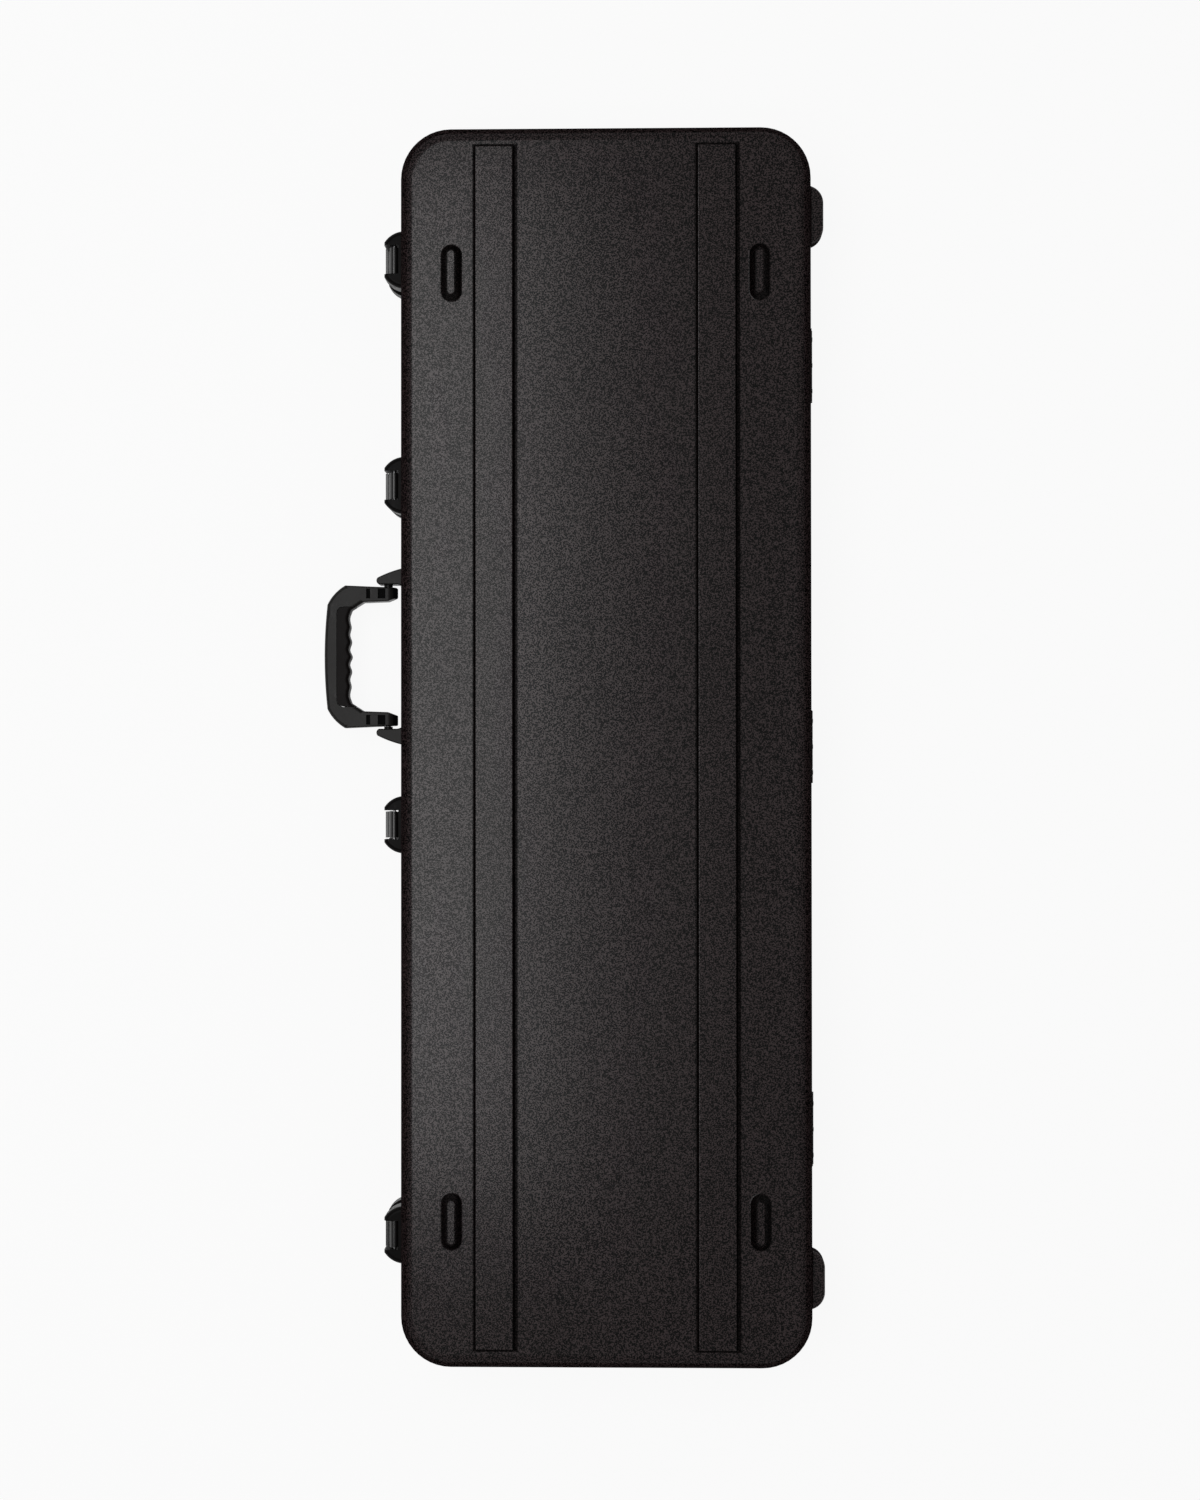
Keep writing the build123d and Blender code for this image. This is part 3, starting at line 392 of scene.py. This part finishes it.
plushLook = {
    "dark": (0.011, 0.011, 0.013),
    "light": (0.062, 0.062, 0.07),
    "pile": {"scale": 1500.0, "bump": 0.5, "depth": 0.0005, "share": 0.4},
    "tuft": {"scale": 260.0, "bump": 0.4, "depth": 0.0014, "share": 0.25, "rough": 0.12},
    # where a hand has brushed the pile
    "stroke": {"scale": 9.0, "stretch": (1.0, 0.45, 1.0), "edge": (0.35, 0.65), "share": 0.35},
    "rough": 0.9,
    "sheen": {"Sheen_Weight": 0.6, "Sheen_Roughness": 0.45},
}


def plushFinish(look=plushLook):
    f = Finish("shortPilePlush")
    ofPile, ofTuft, ofStroke = look["pile"], look["tuft"], look["stroke"]
    pile = f.noise(ofPile["scale"], detail=3.0, rough=0.7)
    tuft = f.noise(ofTuft["scale"], detail=3.0, rough=0.6, warp=0.6)
    stroke = f.noise(ofStroke["scale"], place=f.mapped(ofStroke["stretch"]), warp=0.8)
    tone = pile * ofPile["share"] + tuft * ofTuft["share"]
    tone = tone + f.span(stroke, *ofStroke["edge"]) * ofStroke["share"]
    colour = f.blend(tone, look["dark"], look["light"])
    normal = f.bump(tuft, ofTuft["bump"], ofTuft["depth"])
    normal = f.bump(pile, ofPile["bump"], ofPile["depth"], normal)
    return f.finish(colour, look["rough"] + (tuft - 0.5) * ofTuft["rough"], normal, **look["sheen"])


ribbonLook = {
    "dark": (0.02, 0.02, 0.022),
    "light": (0.11, 0.11, 0.12),
    "warp": 420.0,
    "weft": 260.0,
    "threadShare": 0.7,
    "fuzz": 1200.0,
    "rough": 0.85,
    "fuzzRough": 0.1,
    "bump": 0.5,
    "depth": 0.0003,
    "sheen": 0.2,
}


def ribbonFinish(look=ribbonLook):
    f = Finish("wovenTape")
    thread = f.waves("X", look["warp"]) * f.waves("Y", look["weft"])
    fuzz = f.noise(look["fuzz"])
    share = look["threadShare"]
    colour = f.blend(thread * share + fuzz * (1 - share), look["dark"], look["light"])
    rough = look["rough"] + (fuzz - 0.5) * look["fuzzRough"]
    return f.finish(colour, rough, f.bump(thread, look["bump"], look["depth"]), Sheen_Weight=look["sheen"])


finishes = {
    "shell_plastic": shellFinish(),
    "valance_metal": valanceFinish(),
    "latch_plastic": mouldedFinish("latchMoulding", latchLook),
    "hasp_plastic": mouldedFinish("haspMoulding", haspLook),
    "pin_steel": steelFinish(),
    "rivet_steel": mouldedFinish("rivetPaint", rivetLook),
    "hinge_steel": mouldedFinish("hingeCoat", hingeLook),
    "handle_plastic": mouldedFinish("handleMoulding", handleLook),
    "grip_rubber": mouldedFinish("gripRubber", gripLook),
    "lining_plush": plushFinish(),
    "ribbon_cloth": ribbonFinish(),
}
for name, piece in nodes.items():
    for slot in piece.material_slots:
        slot.link = "DATA"
    piece.data.materials.clear()
    piece.data.materials.append(finishes[slotOf[name]])
print("finishes made:", len(finishes))


# Padded lining: each foam block of the case gets a softened, pile-covered copy
padLook = {
    "floor_pad": {"voxel": 0.006, "smooth": 6, "shrink": 0.0006},
    "lid_pad": {"voxel": 0.006, "smooth": 10, "shrink": 0.0006},
    "body_surround_left": {"voxel": 0.004, "smooth": 8, "shrink": 0.0004},
    "body_surround_right": {"voxel": 0.004, "smooth": 8, "shrink": 0.0004},
    "neck_side_block": {"voxel": 0.004, "smooth": 8, "shrink": 0.0004},
    "accessory_box": {"voxel": 0.003, "smooth": 5, "shrink": 0.0002},
    "head_surround": {"voxel": 0.004, "smooth": 8, "shrink": 0.0004},
    "neck_cradle": {"voxel": 0.003, "smooth": 8, "shrink": 0.0002},
    "accessory_flap": {"voxel": 0.0016, "smooth": 3, "shrink": 0.0},
}
softenFactor = 0.6
weldDistance = 1e-5


def newPiece(name, data):
    piece = bpy.data.objects.new(name, data)
    bpy.context.scene.collection.objects.link(piece)
    return piece


def weldedCopy(node, name):
    # a CAD node's mesh with its triangles joined
    mesh = nodes[node].data.copy()
    mesh.name = name
    bm = bmesh.new()
    bm.from_mesh(mesh)
    bmesh.ops.remove_doubles(bm, verts=bm.verts, dist=weldDistance)
    bm.to_mesh(mesh)
    bm.free()
    return newPiece(name, mesh)


def bake(piece):
    # the modifiers' result becomes the mesh
    bpy.context.view_layer.update()
    result = bpy.data.meshes.new_from_object(piece.evaluated_get(bpy.context.evaluated_depsgraph_get()))
    piece.modifiers.clear()
    old = piece.data
    piece.data = result
    bpy.data.meshes.remove(old)


def plushPad(node, look):
    piece = weldedCopy(node, "plush_" + node)
    remesh = piece.modifiers.new("cloth", "REMESH")
    remesh.mode = "VOXEL"
    remesh.voxel_size = look["voxel"]
    remesh.use_smooth_shade = True
    soften = piece.modifiers.new("soften", "SMOOTH")
    soften.factor = softenFactor
    soften.iterations = look["smooth"]
    if look["shrink"]:
        draw = piece.modifiers.new("draw", "DISPLACE")
        draw.mid_level = 0.0
        draw.strength = -look["shrink"]
    bake(piece)
    piece.data.materials.clear()
    piece.data.materials.append(finishes["lining_plush"])
    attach(piece, bodyOf[node])
    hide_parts(node)
    return piece


pads = [plushPad(node, look) for node, look in padLook.items()]
print("lining made:", sum(len(piece.data.polygons) for piece in pads), "faces")


# Stitched seams on the flap and the lid's pad
seamLook = {
    "accessory_flap": {"inset": 0.008, "corner": 0.006, "sink": 0.0002, "onTop": True},
    "lid_pad": {"inset": 0.03, "corner": 0.03, "sink": 0.0005, "onTop": False},
    "pitch": 0.0065,
    "length": 0.0042,
    "thread": 0.00045,
    "wander": 0.00025,
    "seed": 7,
    "sides": 8,                   # of a stitch
    "cornerPoints": 8,
}


def seamTree(look=seamLook):
    tree = bpy.data.node_groups.new("stitchedSeam", "GeometryNodeTree")
    inputs = {
        "Geometry": "Geometry", "Width": "Float", "Length": "Float", "Corner": "Float", "Pitch": "Float",
        "Stitch": "Float", "Thread": "Float", "Wander": "Float", "Seed": "Int", "Place": "Vector",
        "Material": "Material",
    }
    for name, kind in inputs.items():
        tree.interface.new_socket(name=name, in_out="INPUT", socket_type="NodeSocket" + kind)
    tree.interface.new_socket(name="Geometry", in_out="OUTPUT", socket_type="NodeSocketGeometry")

    def add(kind, settings=None, fixed=None, **wires):
        # wires: an input's name and the node and output that feed it
        node = tree.nodes.new(kind)
        for key, value in (settings or {}).items():
            setattr(node, key, value)
        for key, value in (fixed or {}).items():
            node.inputs[key].default_value = value
        for key, (start, output) in wires.items():
            tree.links.new(start.outputs[output], node.inputs[key])
        return node

    given = add("NodeGroupInput")
    line = add(
        "GeometryNodeCurvePrimitiveQuadrilateral", {"mode": "RECTANGLE"},
        Width=(given, "Width"), Height=(given, "Length"),
    )
    rounded = add(
        "GeometryNodeFilletCurve", {"mode": "POLY"}, {"Count": look["cornerPoints"]},
        Curve=(line, 0), Radius=(given, "Corner"),
    )
    steps = add("GeometryNodeCurveToPoints", {"mode": "LENGTH"}, Curve=(rounded, 0), Length=(given, "Pitch"))
    stitch = add(
        "GeometryNodeMeshCylinder", None, {"Vertices": look["sides"]},
        Radius=(given, "Thread"), Depth=(given, "Stitch"),
    )
    turn = add("FunctionNodeAlignRotationToVector", {"axis": "Z"}, Vector=(steps, "Tangent"))
    placed = add(
        "GeometryNodeInstanceOnPoints", Points=(steps, "Points"), Instance=(stitch, "Mesh"), Rotation=(turn, 0)
    )
    spread = add(
        "FunctionNodeRandomValue", {"data_type": "FLOAT_VECTOR"}, {"Min": (-1, -1, 0)}, Seed=(given, "Seed")
    )
    scaled = add(
        "ShaderNodeVectorMath", {"operation": "SCALE"}, Vector=(spread, "Value"), Scale=(given, "Wander")
    )
    moved = add("GeometryNodeTranslateInstances", Instances=(placed, 0), Translation=(scaled, 0))
    shifted = add("GeometryNodeTransform", Geometry=(moved, 0), Translation=(given, "Place"))
    whole = add("GeometryNodeRealizeInstances", Geometry=(shifted, 0))
    dressed = add("GeometryNodeSetMaterial", Geometry=(whole, 0), Material=(given, "Material"))
    add("NodeGroupOutput", Geometry=(dressed, 0))
    return tree


def seam(tree, node, look=seamLook):
    low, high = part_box(node)
    own = look[node]
    level = high.z - own["sink"] if own["onTop"] else low.z + own["sink"]
    values = {
        "Width": high.x - low.x - 2 * own["inset"], "Length": high.y - low.y - 2 * own["inset"],
        "Corner": own["corner"], "Pitch": look["pitch"], "Stitch": look["length"],
        "Thread": look["thread"], "Wander": look["wander"], "Seed": look["seed"],
        "Place": ((low.x + high.x) / 2, (low.y + high.y) / 2, level), "Material": finishes["ribbon_cloth"],
    }
    piece = newPiece("seam_" + node, bpy.data.meshes.new("seam_" + node))
    modifier = piece.modifiers.new("seam", "NODES")
    modifier.node_group = tree
    for item in tree.interface.items_tree:
        if item.in_out == "INPUT" and item.name in values:
            modifier[item.identifier] = values[item.name]
    bake(piece)
    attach(piece, bodyOf[node])
    return piece


stitches = seamTree()
seams = [seam(stitches, node) for node in ("accessory_flap", "lid_pad")]
print("seams made:", sum(len(piece.data.polygons) for piece in seams), "faces")


# Stage: a pale floor that rises into a round backdrop
stageLook = {
    "rings": ((4.2, -0.0005), (5.2, 0.12), (5.9, 0.7), (6.1, 1.6), (6.1, 3.4)),   # radius and height
    "sides": 96,
    "colour": (0.86, 0.86, 0.86, 1),
    "rough": 0.9,
    "gloss": 0.1,
    "seenWhite": 0.92,
}


def floorFinish(look=stageLook):
    f = Finish("paleFloor")
    f.finish(look["colour"], look["rough"], None, Specular_IOR_Level=look["gloss"])
    path = f.add("ShaderNodeLightPath", {})
    seen = path.out("Is Camera Ray") + path.out("Is Glossy Ray") + path.out("Is Transmission Ray")
    glow = f.add("ShaderNodeEmission", {}, Color=(1, 1, 1, 1))
    shadowed = Wire(f, f.skin.outputs[0])
    mix = f.add("ShaderNodeMixShader", {}, seen * look["seenWhite"], shadowed, glow)
    f.feed(f.ending.inputs["Surface"], mix)
    return f.material


def paleFloor(look=stageLook):
    sides = look["sides"]
    turn = 2 * math.pi / sides
    corners = [(0, 0, look["rings"][0][1])]
    for radius, height in look["rings"]:
        corners += [(radius * math.cos(turn * i), radius * math.sin(turn * i), height) for i in range(sides)]
    faces = [(0, 1 + i, 1 + (i + 1) % sides) for i in range(sides)]
    for ring in range(len(look["rings"]) - 1):
        low = 1 + ring * sides
        high = low + sides
        faces += [(low + i, high + i, high + (i + 1) % sides, low + (i + 1) % sides) for i in range(sides)]
    mesh = bpy.data.meshes.new("floor")
    mesh.from_pydata(corners, [], faces)
    mesh.polygons.foreach_set("use_smooth", [True] * len(mesh.polygons))
    mesh.materials.append(floorFinish())
    newPiece("floor", mesh)


lightLook = {
    "world": 0.3,
    "key": {"place": (-0.82, 0.2, 2.9), "aim": (-0.82, 0.2, 0), "size": (1.3, 2.3), "power": 32.0},
}


def paleWorld(strength):
    world = bpy.data.worlds.new("studio")
    bpy.context.scene.world = world
    world.use_nodes = True
    tree = world.node_tree
    tree.nodes.clear()
    out = tree.nodes.new("ShaderNodeOutputWorld")
    soft = tree.nodes.new("ShaderNodeBackground")
    soft.inputs["Color"].default_value = (1, 1, 1, 1)
    soft.inputs["Strength"].default_value = strength
    tree.links.new(soft.outputs[0], out.inputs["Surface"])


def lamp(name, place, aim, size, power):
    data = bpy.data.lights.new(name, "AREA")
    data.shape = "RECTANGLE"
    data.size, data.size_y = size
    data.energy = power
    piece = newPiece(name, data)
    piece.location = place
    piece.rotation_euler = (Vector(aim) - Vector(place)).to_track_quat("-Z", "Y").to_euler()


cameraLook = {
    "place": (0.0517, -0.0262, 2.627),       # from the case's middle
    "turn": (0.0090, 0.0230, -0.0008),
    "lens": 58.34,
    "sensor": 36.0,
    "farthest": 60.0,
}


def photoCamera(look=cameraLook):
    data = bpy.data.cameras.new("photoCamera")
    data.sensor_fit = "VERTICAL"
    data.sensor_height = look["sensor"]
    data.sensor_width = look["sensor"]
    data.lens = look["lens"]
    data.clip_end = look["farthest"]
    piece = newPiece("photoCamera", data)
    piece.location = Vector(look["place"]) + Vector((caseMiddle, 0, 0))
    piece.rotation_euler = look["turn"]
    bpy.context.scene.camera = piece


paleFloor()
paleWorld(lightLook["world"])
lamp("key", **lightLook["key"])
photoCamera()
bpy.context.scene.view_settings.view_transform = "Standard"
print("stage, light and camera set")
